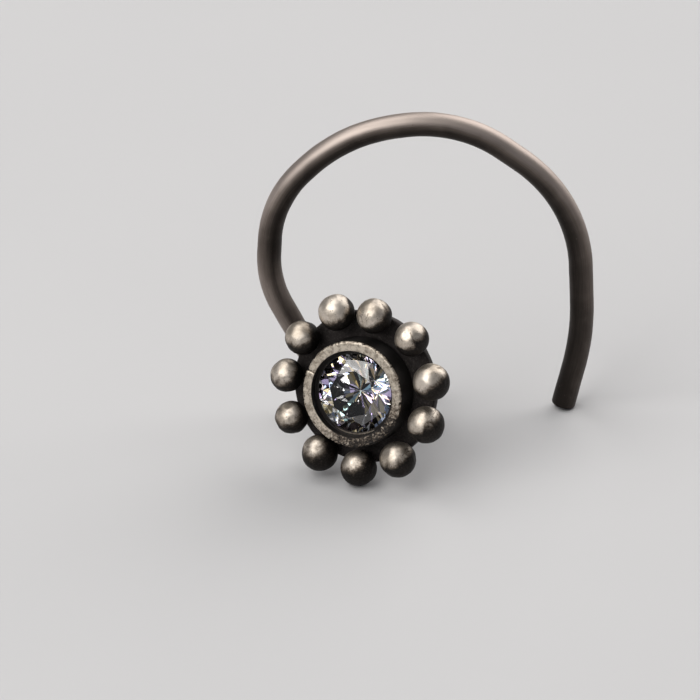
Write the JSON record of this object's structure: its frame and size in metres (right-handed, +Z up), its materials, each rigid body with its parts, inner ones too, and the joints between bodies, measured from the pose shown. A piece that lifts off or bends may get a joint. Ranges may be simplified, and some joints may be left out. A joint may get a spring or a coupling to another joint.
{
  "type": "nose stud",
  "caption": "Flower-headed nose stud: a round clear stone in a tube bezel, ringed by granules on a dark plate, on a bent wire hoop.",
  "frame": {"origin": "on the floor under the middle of the bounding box, with the stud standing by itself as it rests", "axes": "+Z up, -Y towards the viewer of the head, +X to that viewer's right; the hoop stands in a plane of constant Y behind the head"},
  "size_m": [0.0111, 0.0067, 0.0108],
  "materials": {
    "silver": "oxidised silver, worn bright on the high spots and nearly black in the recesses",
    "stone": "clear, faceted and polished"
  },
  "bodies": {
    "root": {"silver_pin": "silver", "stone": "stone"}
  },
  "joints": []
}
